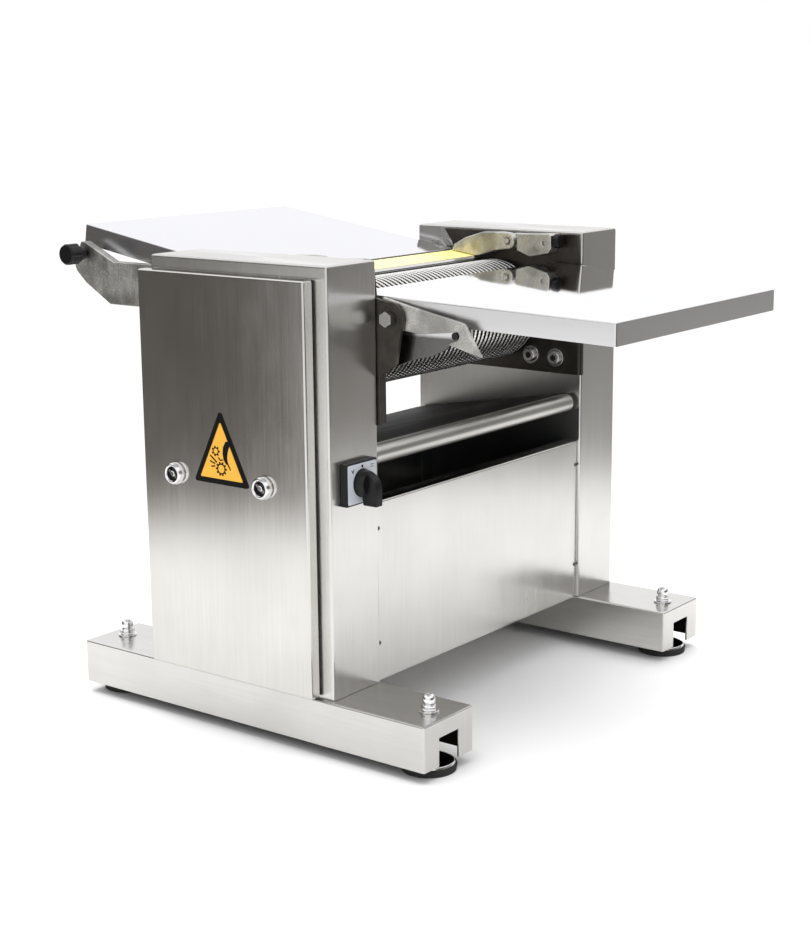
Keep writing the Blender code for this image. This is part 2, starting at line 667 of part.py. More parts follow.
switch = block(
    "switch_base",
    (SWITCH_X - 27, BOX_FRONT - 9.3, SWITCH_Z - 24.5),
    (SWITCH_X + 27, BOX_FRONT - GAP, SWITCH_Z + 24.5),
    "black_plastic",
)
weld(switch, rod("switch_body", 8.7, -3, 42, (SWITCH_X, BOX_FRONT - 2, SWITCH_Z), (0, 1, 0)))
cut(switch, rod("switch_bore", 4.3, -20, 30, (SWITCH_X, BOX_FRONT - 2, SWITCH_Z), (0, 1, 0), steps=16))
handle = turned(
    "switch_handle",
    [(0, 12), (12.5, 12), (14.5, 9.5), (15.5, 0.3), (4.0, 0.3), (4.0, -22), (0, -22)],
    (SWITCH_X, BOX_FRONT - 9.3, SWITCH_Z),
    (0, -1, 0),
    "black_plastic",
    steps=24,
)
grip_outline = [(-12, 13.0), (-21, 12.5), (-28, 9), (-32.5, 2.5), (-34, -6), (-34, -24.5)]
grip_outline += [(-15.5, -24.5), (-14, -15), (-12, -13)]
grip_outline = [(BOX_FRONT + out, SWITCH_Z + rise) for out, rise in grip_outline]
weld(handle, profile("switch_grip", grip_outline, SWITCH_X - 5.5, SWITCH_X + 5.5))

gland = turned(
    "cable_gland",
    [(4, 18), (9, 18), (11, 12), (11, 0.3), (8.0, 0.3), (8.0, -8), (4, -8), (4, 18)],
    (SWITCH_X, BOX_BACK, 110),
    (0, 1, 0),
    "black_plastic",
    steps=20,
)

# ---------------------------------------------------------------- feet

pad_profile = [(0, PAD_HEIGHT), (PAD_RADIUS - 1, PAD_HEIGHT), (PAD_RADIUS, 6.5), (PAD_RADIUS - 1.5, 0), (0, 0)]
stud_profile = [(0, 84), (STUD_RADIUS, 84), (STUD_RADIUS, 15.5), (22, 13.5)]
stud_profile += [(29.0, 11), (30.0, PAD_HEIGHT + GAP), (0, PAD_HEIGHT + GAP)]
cap_profile = [(0, 21.5), (4.2, 20.7), (7.0, 17.6), (8.0, 13.5), (8.0, 9), (9.2, 8.4), (9.2, 2.2)]
cap_profile += [(11.8, 2.0), (11.8, GAP), (5.4, GAP), (5.4, 17.5), (0, 17.5)]
for word, side in SIDES:
    for row, y in (("front", -FOOT_Y), ("rear", FOOT_Y)):
        place = f"{row}_{word}"
        spot = (side * FOOT_X, y, 0)
        turned(
            "foot_pad_" + place,
            pad_profile,
            spot,
            (0, 0, 1),
            "rubber",
            steps=28,
        )
        stud = turned(
            "foot_stud_" + place,
            stud_profile,
            spot,
            (0, 0, 1),
            "chrome",
            steps=24,
        )
        weld(stud, rod("foot_nut_" + place, 11.0, 18, 29, spot, (0, 0, 1), steps=6))
        cap = turned(
            "cap_nut_" + place,
            cap_profile,
            (side * FOOT_X, y, BEAM_TOP),
            (0, 0, 1),
            "chrome",
            steps=18,
        )

# Round faces are shaded smooth and flat ones stay crisp.
soft_shading = smooth_by_angle(35)
for piece in parts.objects:
    piece.modifiers.new("smooth", "NODES").node_group = soft_shading
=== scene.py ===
"""Studio scene of the bench-top pork skinning machine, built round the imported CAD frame."""

import json
import math

import bmesh
import bpy
from mathutils import Matrix, Vector


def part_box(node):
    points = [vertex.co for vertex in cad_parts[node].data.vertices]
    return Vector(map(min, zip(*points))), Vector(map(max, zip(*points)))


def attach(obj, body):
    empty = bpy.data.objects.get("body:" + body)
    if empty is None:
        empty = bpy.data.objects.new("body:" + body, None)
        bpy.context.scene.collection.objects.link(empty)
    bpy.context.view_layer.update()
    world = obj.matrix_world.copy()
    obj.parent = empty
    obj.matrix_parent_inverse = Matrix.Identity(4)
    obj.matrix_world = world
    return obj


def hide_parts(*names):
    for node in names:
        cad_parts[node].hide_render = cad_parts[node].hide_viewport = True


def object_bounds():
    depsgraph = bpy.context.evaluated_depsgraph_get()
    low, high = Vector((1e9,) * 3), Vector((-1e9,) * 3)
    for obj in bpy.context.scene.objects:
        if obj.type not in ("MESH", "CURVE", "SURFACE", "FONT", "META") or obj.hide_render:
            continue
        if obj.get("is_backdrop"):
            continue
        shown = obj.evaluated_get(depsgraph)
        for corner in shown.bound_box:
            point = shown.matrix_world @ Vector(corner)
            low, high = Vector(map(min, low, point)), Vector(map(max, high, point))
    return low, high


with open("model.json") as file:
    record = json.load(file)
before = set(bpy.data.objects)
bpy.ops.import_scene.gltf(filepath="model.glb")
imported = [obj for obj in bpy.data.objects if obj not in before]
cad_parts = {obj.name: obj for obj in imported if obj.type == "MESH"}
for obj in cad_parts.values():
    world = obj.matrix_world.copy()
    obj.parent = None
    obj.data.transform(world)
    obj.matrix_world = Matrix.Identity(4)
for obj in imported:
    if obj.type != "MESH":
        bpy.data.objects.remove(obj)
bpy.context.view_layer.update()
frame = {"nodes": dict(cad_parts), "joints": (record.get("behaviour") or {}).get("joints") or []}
nodes = frame["nodes"]
MM = 0.001
MIDDLE_X = 0.010  # the machine's own middle: the gear cover sets the box's middle off to the left
WHITE = (1.0, 1.0, 1.0)
LEFT_RIGHT = ("left", "right")


def joint_at(name):
    found = [j for j in frame["joints"] if j["name"] == name]
    return Vector(found[0]["pos_m"])


def lifted(height):
    """A placement that much higher along Z, in mm."""
    return Matrix.Translation((0, 0, height * MM))


def tinted(colour, share):
    """The colour times the share, kept within 1."""
    return tuple(min(1.0, share * c) for c in colour)


# ---------------------------------------------------------------- camera

CAMERA_AT = Vector((-1.76076, -1.33573, 0.75485))
AZIMUTH = math.radians(-52.4787)
ELEVATION = math.radians(12.4159)
ROLL = math.radians(-0.5042)
LENS = 67.58
SENSOR_WIDTH = 36.0


def aim_camera():
    """Puts the camera where the photograph was taken from."""
    right = Vector((math.cos(AZIMUTH), math.sin(AZIMUTH), 0.0))
    level = math.cos(ELEVATION)
    back = Vector((math.sin(AZIMUTH) * level, -math.cos(AZIMUTH) * level, math.sin(ELEVATION)))
    up = back.cross(right)
    data = bpy.data.cameras.new("camera")
    data.lens = LENS
    data.sensor_width = SENSOR_WIDTH
    data.clip_start = 0.05
    data.clip_end = 60.0
    camera = bpy.data.objects.new("camera", data)
    bpy.context.scene.collection.objects.link(camera)
    columns = (
        right * math.cos(ROLL) + up * math.sin(ROLL),
        up * math.cos(ROLL) - right * math.sin(ROLL),
        back,
    )
    turn = Matrix(columns).transposed().to_4x4()
    camera.matrix_world = Matrix.Translation(CAMERA_AT) @ turn
    bpy.context.scene.camera = camera


aim_camera()

# ---------------------------------------------------------------- node helpers


class Graph:
    """A short way to write a node tree."""

    def __init__(self, tree):
        self.tree = tree
        tree.nodes.clear()

    def add(self, kind, inputs=None, **settings):
        node = self.tree.nodes.new(kind)
        for key, value in settings.items():
            setattr(node, key, value)
        for key, value in (inputs or {}).items():
            if isinstance(value, bpy.types.NodeSocket):
                self.tree.links.new(value, node.inputs[key])
            else:
                node.inputs[key].default_value = value
        return node

    def math(self, operation, *values, clamp=False):
        inputs = dict(enumerate(values))
        return self.add("ShaderNodeMath", inputs, operation=operation, use_clamp=clamp).outputs[0]

    def mix(self, factor, a, b, kind="RGBA"):
        node = self.add("ShaderNodeMix", data_type=kind)
        names = {"RGBA": (0, 6, 7, 2), "FLOAT": (0, 2, 3, 0), "VECTOR": (0, 4, 5, 1)}[kind]
        for index, value in zip(names[:3], (factor, a, b)):
            if isinstance(value, bpy.types.NodeSocket):
                self.tree.links.new(value, node.inputs[index])
            elif kind == "RGBA" and index:
                node.inputs[index].default_value = (*value[:3], 1.0)
            else:
                node.inputs[index].default_value = value
        return node.outputs[names[3]]

    def ramp(self, factor, *stops):
        """Piecewise linear 0..1 curve through (position, value) stops."""
        node = self.add("ShaderNodeValToRGB", {0: factor})
        elements = node.color_ramp.elements
        while len(elements) < len(stops):
            elements.new(0.5)
        for element, (place, value) in zip(elements, stops):
            element.position = place
            colour = value if isinstance(value, tuple) else (value, value, value)
            element.color = (*colour, 1.0)
        return node.outputs[0]

    def noise(self, vector, scale, detail=2.0, rough=0.5):
        inputs = {"Vector": vector, "Scale": scale, "Detail": detail, "Roughness": rough}
        return self.add("ShaderNodeTexNoise", inputs).outputs[0]

    def scaled(self, vector, scale):
        return self.add("ShaderNodeMapping", {"Vector": vector, "Scale": scale}).outputs[0]

    def parts(self, vector):
        return self.add("ShaderNodeSeparateXYZ", {0: vector}).outputs

    def vector(self, operation, a, b=None, output=0):
        inputs = {0: a} if b is None else {0: a, 1: b}
        return self.add("ShaderNodeVectorMath", inputs, operation=operation).outputs[output]


def shaded(name, build, metallic, **values):
    """A Principled material whose colour, roughness and bump come from `build(graph)`."""
    material = bpy.data.materials.new(name)
    material.use_nodes = True
    g = Graph(material.node_tree)
    shader = g.add("ShaderNodeBsdfPrincipled", {"Metallic": metallic, **values})
    g.add("ShaderNodeOutputMaterial", {"Surface": shader.outputs[0]})
    place = g.add("ShaderNodeTexCoord").outputs["Object"]
    colour, roughness, height, strength, distance, *rest = build(g, place)
    for key, value in (("Base Color", colour), ("Roughness", roughness), *rest):
        if isinstance(value, bpy.types.NodeSocket):
            g.tree.links.new(value, shader.inputs[key])
        else:
            shader.inputs[key].default_value = value
    inputs = {"Height": height, "Strength": strength, "Distance": distance}
    g.tree.links.new(g.add("ShaderNodeBump", inputs).outputs[0], shader.inputs["Normal"])
    return material


def grain(g, place, axis, fine, coarse):
    """Brush lines along one axis; faces square to that axis are brushed along the next one."""
    other = {"X": "Y", "Y": "Z", "Z": "Y"}[axis]
    streaks = []
    for along in (axis, other):
        scale = [fine if name != along else fine * 0.012 for name in "XYZ"]
        thin = g.noise(g.scaled(place, scale), 1.0, 2.0, 0.6)
        scale = [coarse if name != along else coarse * 0.02 for name in "XYZ"]
        wide = g.noise(g.scaled(place, scale), 1.0, 1.0, 0.5)
        streaks.append(g.mix(0.35, thin, wide, "FLOAT"))
    normal = g.add("ShaderNodeTexCoord").outputs["Normal"]
    along_axis = g.math("ABSOLUTE", g.parts(normal)["XYZ".index(axis)])
    return g.mix(g.math("GREATER_THAN", along_axis, 0.75), streaks[0], streaks[1], "FLOAT")


# near-black colour painted on steel as shade
PAINTED_SHADE_COLOUR = (0.022, 0.021, 0.020)
# the table's lugs below LUG_TOP are painted dark grey as shade
LUG_TOP = (0.4790, 0.4795)  # the table's lugs lie below this height, in metres
# radius round the hook pin that is painted near-black as shade, in metres
HOOK_PIN_SHADE_REACH = 0.0052


def brushed(name, axis, colour=(0.70, 0.69, 0.67), rough=0.17, relief=0.10, spread=0.0, painted_shade=None):
    """Brushed stainless sheet with faint clouding and handling marks; the mask painted_shade(g,
    place) paints shade on it, near-black and matte.
    """

    def build(g, place):
        lines = grain(g, place, axis, 1400.0, 260.0)
        clouds = g.noise(place, 7.0, 3.0, 0.55)
        smears = g.noise(g.scaled(place, (11.0, 11.0, 5.0)), 1.0, 4.0, 0.7)
        smears = g.ramp(smears, (0.50, 0.0), (0.72, 1.0))
        tint = g.math("ADD", g.math("MULTIPLY", lines, 0.5), g.math("MULTIPLY", clouds, 0.5))
        tint = g.ramp(tint, (0.34, 0.0), (0.66, 1.0))
        base = g.mix(tint, tinted(colour, 0.89), tinted(colour, 1.08))
        value = g.math("MULTIPLY_ADD", lines, 0.10, rough - 0.05)
        value = g.math("MULTIPLY_ADD", smears, 0.035, value)
        value = g.math("MULTIPLY_ADD", clouds, 0.04, g.math("SUBTRACT", value, 0.02))
        # painted shade: where the mask is 1 the steel turns near-black and matte
        if painted_shade is not None:
            shade = painted_shade(g, place)
            base = g.mix(shade, base, PAINTED_SHADE_COLOUR)
            value = g.mix(shade, value, 0.62, "FLOAT")
        around = g.add("ShaderNodeTangent", direction_type="RADIAL", axis="Z").outputs[0]
        return base, value, lines, relief, 0.0002, ("Tangent", around)

    return shaded(name, build, 1.0, Anisotropic=spread)


def polished(name, colour=(0.93, 0.93, 0.94), rough=0.045):
    """Table sheet polished to a mirror, with faint polishing lines and knife marks."""

    def build(g, place):
        lines = grain(g, place, "Y", 900.0, 120.0)
        clouds = g.noise(place, 5.0, 3.0, 0.6)
        stretched = {"Vector": g.scaled(place, (9.0, 42.0, 9.0)), "Scale": 1.0}
        cells = g.add("ShaderNodeTexVoronoi", stretched, feature="DISTANCE_TO_EDGE")
        marks = g.ramp(cells.outputs[0], (0.0, 1.0), (0.006, 0.0))
        marks = g.math("MULTIPLY", marks, g.ramp(clouds, (0.5, 0.0), (0.62, 1.0)))
        base = g.mix(clouds, tinted(colour, 0.96), colour)
        value = g.math("MULTIPLY_ADD", clouds, 0.03, rough - 0.015)
        value = g.math("MULTIPLY_ADD", marks, 0.05, value)
        normal = g.add("ShaderNodeTexCoord").outputs["Normal"]
        level = g.math("ABSOLUTE", g.parts(normal)[2])
        level = g.ramp(level, (0.80, 0.0), (0.97, 1.0))
        flange = g.math("MULTIPLY_ADD", lines, 0.16, 0.16)
        value = g.mix(level, flange, value, "FLOAT")
        base = g.mix(level, tinted(colour, 0.84), base)
        # painted shade: the lugs under the table top are painted dark grey
        lug_shade = g.ramp(g.parts(place)[2], (LUG_TOP[0], 1.0), (LUG_TOP[1], 0.0))
        base = g.mix(lug_shade, base, (0.16, 0.155, 0.15))
        # painted shade: the steel round the hook pin is painted near-black, as the shade in the
        # hook's mouth
        pin = joint_at("front_table_tilt")
        away = g.vector("SUBTRACT", place, (0.0, pin.y, pin.z))
        away = g.vector("MULTIPLY", away, (0.0, 1.0, 1.0))
        away = g.vector("LENGTH", away, output="Value")
        base = g.mix(g.math("LESS_THAN", away, HOOK_PIN_SHADE_REACH), base, (0.05, 0.048, 0.046))
        return base, value, lines, 0.012, 0.0002

    return shaded(name, build, 1.0)


def cast(name, colour=(0.62, 0.61, 0.58), rough=0.30):
    """Investment-cast stainless, tumbled: soft lumps, fine pitting, cloudy shine."""

    def build(g, place):
        lumps = g.noise(place, 75.0, 3.0, 0.6)
        shade = g.noise(place, 24.0, 2.0, 0.5)
        pits = g.noise(place, 520.0, 3.0, 0.75)
        clouds = g.noise(place, 38.0, 3.0, 0.6)
        height = g.math("ADD", lumps, g.math("MULTIPLY", pits, 0.45))
        tint = g.math("ADD", g.math("MULTIPLY", clouds, 0.4), g.math("MULTIPLY", pits, 0.6))
        tint = g.ramp(tint, (0.36, 0.0), (0.62, 1.0))
        base = g.mix(tint, tinted(colour, 0.62), tinted(colour, 1.25))
        base = g.mix(g.ramp(shade, (0.38, 0.55), (0.52, 0.0)), base, tinted(colour, 0.30))
        value = g.math("MULTIPLY_ADD", pits, 0.30, rough - 0.15)
        return base, value, height, 0.55, 0.0016

    return shaded(name, build, 1.0)


def bright(name, colour, rough, lumps=0.02):
    """Plated or ground metal with faint wipe marks."""

    def build(g, place):
        wipes = g.noise(g.scaled(place, (90.0, 90.0, 500.0)), 1.0, 3.0, 0.6)
        clouds = g.noise(place, 40.0, 2.0, 0.5)
        base = g.mix(clouds, tinted(colour, 0.92), colour)
        value = g.math("MULTIPLY_ADD", wipes, 0.08, rough)
        return base, value, clouds, lumps, 0.0005

    return shaded(name, build, 1.0)


def oiled(name, colour, rough):
    """Dark oiled steel with a patchy film."""

    def build(g, place):
        film = g.noise(place, 55.0, 4.0, 0.6)
        fine = g.noise(place, 700.0, 2.0, 0.6)
        base = g.mix(film, tinted(colour, 0.55), tinted(colour, 1.5))
        value = g.math("MULTIPLY_ADD", film, 0.22, rough - 0.11)
        return base, value, fine, 0.15, 0.0003

    return shaded(name, build, 1.0)


def moulded(name, colour, rough, texture=700.0, relief=0.12, **values):
    """Moulded plastic, rubber or paint with a fine spark-eroded texture."""

    def build(g, place):
        fine = g.noise(place, texture, 2.0, 0.5)
        clouds = g.noise(place, 30.0, 2.0, 0.5)
        base = g.mix(clouds, tinted(colour, 0.85), tinted(colour, 1.15))
        value = g.math("MULTIPLY_ADD", clouds, 0.10, rough - 0.05)
        return base, value, fine, relief, 0.0002

    return shaded(name, build, 0.0, **values)


def printed(name, colour, rough=0.32):
    """Printed and lacquered film, very slightly mottled."""

    def build(g, place):
        mottle = g.noise(place, 120.0, 3.0, 0.5)
        base = g.mix(mottle, tinted(colour, 0.94), tinted(colour, 1.04))
        value = g.math("MULTIPLY_ADD", mottle, 0.10, rough - 0.05)
        return base, value, mottle, 0.03, 0.0002

    return shaded(name, build, 0.0, **{"Coat Weight": 0.25, "Coat Roughness": 0.2})


def beam_inner_shade(g, place):
    """Painted-shade mask: 1 on the inner walls of the foot beams, 0 on their outside."""
    low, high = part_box("foot_beam_right")
    middle = (low.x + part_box("foot_beam_left")[1].x) / 2
    x, y, z = g.parts(place)
    away = g.math("ABSOLUTE", g.math("SUBTRACT", x, middle))
    skin = 0.0016  # less than the sheet's thickness, so that the outer face keeps its finish
    tests = [
        g.math("GREATER_THAN", away, low.x - middle + skin),
        g.math("LESS_THAN", away, high.x - middle - skin),
        g.math("GREATER_THAN", y, low.y + skin),
        g.math("LESS_THAN", y, high.y - skin),
        g.math("LESS_THAN", z, high.z - skin),
    ]
    inside = tests[0]
    for test in tests[1:]:
        inside = g.math("MULTIPLY", inside, test)
    return inside


def tray_shade(g, place):
    """Painted dark mask: 0 on the rolled front edge of the tray, up to 1 on its slope (a painted
    dark reflection, in patches) and below the edge (painted shade).
    """
    low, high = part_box("rind_tray")
    _, y, z = g.parts(place)
    slope = g.ramp(g.math("MULTIPLY_ADD", y, 20.0, -20.0 * low.y), (0.40, 0.0), (0.47, 1.0))
    patches = g.noise(g.scaled(place, (5.0, 14.0, 14.0)), 1.0, 3.0, 0.6)
    slope = g.math("MULTIPLY", slope, g.math("MULTIPLY_ADD", patches, 0.5, 0.72))
    below = g.ramp(g.math("MULTIPLY_ADD", z, -20.0, 20.0 * high.z), (0.36, 0.0), (0.46, 0.9))
    return g.math("MAXIMUM", slope, below, clamp=True)


steel_up = brushed("steel_up", "Z", rough=0.235, relief=0.08, spread=0.75)
cover_steel = brushed("cover_steel", "Z", (0.68, 0.665, 0.64), 0.155, 0.06)
# the foot beams' inner walls are painted near-black as shade
steel_along = brushed("steel_along", "Y", rough=0.20, painted_shade=beam_inner_shade)
steel_across = brushed("steel_across", "X", rough=0.16)
# the tray's slope and the recess below its rolled edge are painted dark as reflection and shade
steel_tray = brushed("steel_tray", "X", (0.56, 0.545, 0.52), 0.33, painted_shade=tray_shade)
mirror_sheet = polished("mirror_sheet")
rear_sheet = polished("rear_sheet", (0.85, 0.85, 0.89), 0.07)
casting = cast("casting", (0.66, 0.65, 0.62), 0.38)
# the bearing plates are painted near-black, partly as the shade they sit in
plate_black_and_shade = oiled("plate_black_and_shade", (0.075, 0.067, 0.06), 0.42)
teeth_steel = bright("teeth_steel", (0.62, 0.61, 0.58), 0.20, 0.05)
chrome = bright("chrome", (0.88, 0.88, 0.89), 0.05)
bolt_steel = bright("bolt_steel", (0.44, 0.435, 0.42), 0.20, 0.10)
# the blade is painted near-black as the shade in the gap between blade and roller
blade_shade_black = oiled("blade_shade_black", (0.10, 0.10, 0.105), 0.30)
oil_steel = oiled("oil_steel", (0.16, 0.155, 0.15), 0.36)
bronze = bright("bronze", (0.62, 0.42, 0.20), 0.30)
black_plastic = moulded(
    "black_plastic", (0.007, 0.007, 0.008), 0.30, **{"Specular IOR Level": 0.28}
)
grey_plastic = moulded("grey_plastic", (0.72, 0.72, 0.70), 0.45)
rubber = moulded("rubber", (0.018, 0.018, 0.018), 0.72, 300.0, 0.3)
motor_paint = moulded("motor_paint", (0.10, 0.14, 0.19), 0.40, 260.0, 0.2)
yellow_print = printed("yellow_print", (0.95, 0.50, 0.055))
black_print = moulded(
    "black_print", (0.004, 0.004, 0.004), 0.55, 300.0, 0.02, **{"Specular IOR Level": 0.12}
)
band_print = printed("band_print", (0.93, 0.80, 0.26), 0.28)
silver_print = printed("silver_print", (0.62, 0.65, 0.72), 0.38)

# ---------------------------------------------------------------- surfaces of the CAD nodes


def geometry_group(name):
    group = bpy.data.node_groups.new(name, "GeometryNodeTree")
    for direction in ("INPUT", "OUTPUT"):
        group.interface.new_socket("Geometry", in_out=direction, socket_type="NodeSocketGeometry")
    return group


def shading(g, geometry, domain, smooth=True, selection=None):
    inputs = {"Geometry": geometry, "Shade Smooth": smooth}
    if selection is not None:
        inputs["Selection"] = selection
    return g.add("GeometryNodeSetShadeSmooth", inputs, domain=domain).outputs[0]


def clean_group():
    """Drops the imported flat normals and joins the faces' shared corners."""
    group = geometry_group("clean_faces")
    g = Graph(group)
    inputs = {"Geometry": g.add("NodeGroupInput").outputs[0], "Name": "custom_normal"}
    drop = g.add("GeometryNodeRemoveAttribute", inputs)
    smooth = shading(g, shading(g, drop.outputs[0], "EDGE"), "FACE")
    merge = g.add("GeometryNodeMergeByDistance", {"Geometry": smooth, "Distance": 2e-6})
    g.add("NodeGroupOutput", {0: merge.outputs[0]})
    return group


def smooth_group(limit):
    """Shades smooth, apart from the edges sharper than the limit."""
    group = geometry_group("smooth_by_angle")
    g = Graph(group)
    smooth = shading(g, g.add("NodeGroupInput").outputs[0], "FACE")
    inputs = {0: g.add("GeometryNodeInputMeshEdgeAngle").outputs[0], 1: limit}
    sharp = g.add("FunctionNodeCompare", inputs, data_type="FLOAT", operation="GREATER_THAN")
    hard = shading(g, smooth, "EDGE", False, sharp.outputs[0])
    g.add("NodeGroupOutput", {0: hard})
    return group


CLEAN = clean_group()
SMOOTH = smooth_group(math.radians(40))


def round_edges(obj, edge, segments, pierced):
    """Breaks the sharp edges so that they catch the light; faces with holes stay in triangles."""
    thin = obj.modifiers.new("flat_faces", "DECIMATE")
    thin.decimate_type = "DISSOLVE"
    thin.angle_limit = math.radians(0.3)
    if pierced:
        obj.modifiers.new("keep_holes", "TRIANGULATE")
    bevel = obj.modifiers.new("edges", "BEVEL")
    bevel.width = edge * MM
    bevel.segments = segments
    bevel.limit_method = "ANGLE"
    bevel.angle_limit = math.radians(35)
    bevel.use_clamp_overlap = pierced
    bevel.miter_outer = "MITER_ARC"
    weigh = obj.modifiers.new("even_normals", "WEIGHTED_NORMAL")
    weigh.keep_sharp = True


def finish_node(name, material, edge=0.4, segments=2, pierced=False):
    """Gives a CAD node its finish, with its edges rounded to that many mm."""
    obj = nodes[name]
    obj.data.materials.clear()
    obj.data.materials.append(material)
    clean = obj.modifiers.new("clean", "NODES")
    clean.node_group = CLEAN
    if edge:
        round_edges(obj, edge, segments, pierced)
    else:
        smooth = obj.modifiers.new("smooth", "NODES")
        smooth.node_group = SMOOTH


for word in LEFT_RIGHT:
    finish_node("side_box_" + word, steel_up, 0.4, pierced=True)
    finish_node("foot_beam_" + word, steel_along, 0.4)
    finish_node("bearing_plate_" + word, plate_black_and_shade, 0.4, pierced=True)
    finish_node("roller_bush_" + word, bronze, 0.3)
    finish_node("table_hook_" + word, casting, 1.1, 3)
    finish_node("hook_bolt_" + word, bolt_steel, 0.7, 2)
    finish_node("rear_bracket_" + word, casting, 1.2, 3)
    finish_node("table_clamp_" + word, black_plastic, 0.9, 3, pierced=True)
    finish_node("holder_bracket_" + word, casting, 1.2, 3)
    finish_node("holder_arm_" + word, casting, 2.0, 3)
    finish_node("depth_knob_" + word, black_plastic, 0.5)
    for row in ("front", "rear"):
        finish_node(f"foot_stud_{row}_{word}", chrome, 0.5)
        finish_node(f"cap_nut_{row}_{word}", chrome, 0.5)
        finish_node(f"foot_pad_{row}_{word}", rubber, 0.5)
for name, material, edge in (
    ("front_panel", steel_up, 0.9),
    ("rear_panel", steel_up, 0.4),
    ("base_plate", steel_across, 0.3),
    ("rind_tray", steel_tray, 0.3),
    ("stripper_comb", steel_across, 0.3),
    ("blade_holder", steel_across, 0.5),
    ("blade_clamp", steel_across, 0.3),
    ("skinning_blade", blade_shade_black, 0.0),
    ("front_table", mirror_sheet, 0.4),
    ("rear_table", rear_sheet, 0.4),
    ("gear_cover", cover_steel, 0.6),
    ("cover_gasket", rubber, 0.0),
    ("roller_sprocket", oil_steel, 0.4),
    ("motor_sprocket", oil_steel, 0.4),
    ("drive_chain", oil_steel, 0.4),
    ("gearmotor", motor_paint, 1.2),
    ("control_box", grey_plastic, 1.5),
    ("switch_base", black_plastic, 0.8),
    ("switch_handle", black_plastic, 1.4),
    ("cable_gland", black_plastic, 0.5),
    ("cover_lock_front", chrome, 0.5),
    ("cover_lock_rear", chrome, 0.5),
    ("tooth_roller", teeth_steel, 0.0),
):
    finish_node(name, material, edge, pierced=name == "switch_handle")

# ---------------------------------------------------------------- mesh helpers


def put(name, mesh, material, body, place=None):
    """A finished piece: named, painted, placed and riding on its body."""
    obj = bpy.data.objects.new(name, mesh)
    bpy.context.scene.collection.objects.link(obj)
    if place is not None:
        obj.matrix_world = place
    if material is not None:
        mesh.materials.append(material)
    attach(obj, body)
    return obj


def facing(centre, axis):
    """Placement whose local Z points along the axis."""
    turn = Vector((0, 0, 1)).rotation_difference(Vector(axis)).to_matrix().to_4x4()
    return Matrix.Translation(Vector(centre)) @ turn


def lathe_mesh(name, outline, steps, crisp=35.0):
    """A solid of revolution from (radius, height) pairs in mm, top first, closed on its axis."""
    bm = bmesh.new()
    rings = []
    for radius, height in outline:
        if radius == 0:
            rings.append([bm.verts.new((0, 0, height * MM))])
            continue
        angles = [2 * math.pi * i / steps for i in range(steps)]
        r = radius * MM
        spots = [(r * math.cos(a), r * math.sin(a), height * MM) for a in angles]
        rings.append([bm.verts.new(spot) for spot in spots])
    for upper, lower in zip(rings, rings[1:]):
        for i in range(steps):
            j = (i + 1) % steps
            pairs = ((upper, i), (lower, i), (lower, j), (upper, j))
            bm.faces.new(list(dict.fromkeys(row[k % len(row)] for row, k in pairs)))
    bmesh.ops.recalc_face_normals(bm, faces=bm.faces)
    mesh = bpy.data.meshes.new(name)
    bm.to_mesh(mesh)
    bm.free()
    mesh.shade_smooth()
    mesh.set_sharp_from_angle(angle=math.radians(crisp))
    return mesh


def joined(name, *meshes):
    """One mesh from several, each with its own placement: (mesh, matrix)."""
    bm = bmesh.new()
    for mesh, matrix in meshes:
        mesh.transform(matrix)
        bm.from_mesh(mesh)
    result = bpy.data.meshes.new(name)
    bm.to_mesh(result)
    bm.free()
    return result


def plate_mesh(name, loops, thickness, edge=0.0):
    """A flat shape in mm, with holes, as a solid sheet whose back lies at Z = 0."""
    curve = bpy.data.curves.new(name, "CURVE")
    curve.dimensions = "2D"
    curve.fill_mode = "BOTH"
    curve.extrude = thickness / 2 * MM - edge * MM
    curve.bevel_depth = edge * MM
    curve.bevel_resolution = 1
    curve.offset = -edge * MM
    for loop in loops:
        spline = curve.splines.new("POLY")
        spline.points.add(len(loop) - 1)
        for point, (x, y) in zip(spline.points, loop):
            point.co = (x * MM, y * MM, 0.0, 1.0)
        spline.use_cyclic_u = True
    holder = bpy.data.objects.new(name, curve)
    bpy.context.scene.collection.objects.link(holder)
    graph = bpy.context.evaluated_depsgraph_get()
    mesh = bpy.data.meshes.new_from_object(holder.evaluated_get(graph))
    bpy.data.objects.remove(holder, do_unlink=True)
    bm = bmesh.new()
    bm.from_mesh(mesh)
    bmesh.ops.remove_doubles(bm, verts=bm.verts, dist=1e-6)
    bmesh.ops.translate(bm, verts=bm.verts, vec=(0, 0, thickness / 2 * MM))
    bmesh.ops.recalc_face_normals(bm, faces=bm.faces)
    bm.to_mesh(mesh)
    bm.free()
    return mesh


def ring(radius, count, start=0.0):
    angles = [start + 2 * math.pi * i / count for i in range(count)]
    return [(radius * math.cos(a), radius * math.sin(a)) for a in angles]


def rectangle(left, bottom, wide, tall):
    right, top = left + wide, bottom + tall
    return [(left, bottom), (right, bottom), (right, top), (left, top)]


def rounded(corners, radius, steps=6):
    """A polygon with its corners rounded by arcs."""
    result = []
    for index, corner in enumerate(corners):
        here = Vector(corner)
        before = (Vector(corners[index - 1]) - here).normalized()
        after = (Vector(corners[(index + 1) % len(corners)]) - here).normalized()
        half = before.angle(after) / 2
        centre = here + (before + after).normalized() * (radius / math.sin(half))
        first = here + before * (radius / math.tan(half)) - centre
        last = here + after * (radius / math.tan(half)) - centre
        for step in range(steps + 1):
            spoke = first.lerp(last, step / steps).normalized() * radius
            result.append(tuple(centre + spoke))
    return result


def shifted(loop, dx, dy):
    return [(x + dx, y + dy) for x, y in loop]


# ---------------------------------------------------------------- toothed roller

RINGS = 45
DRUM_HALF = 203.0
DRUM_BORE = 19.0
RING_DEPTH = 3.6
CREST_DROP = 0.15
TEETH = 96
TOOTH_CUT = 0.4
SHAFT_RADIUS = 14.7
SHAFT_CHAMFER = 1.0


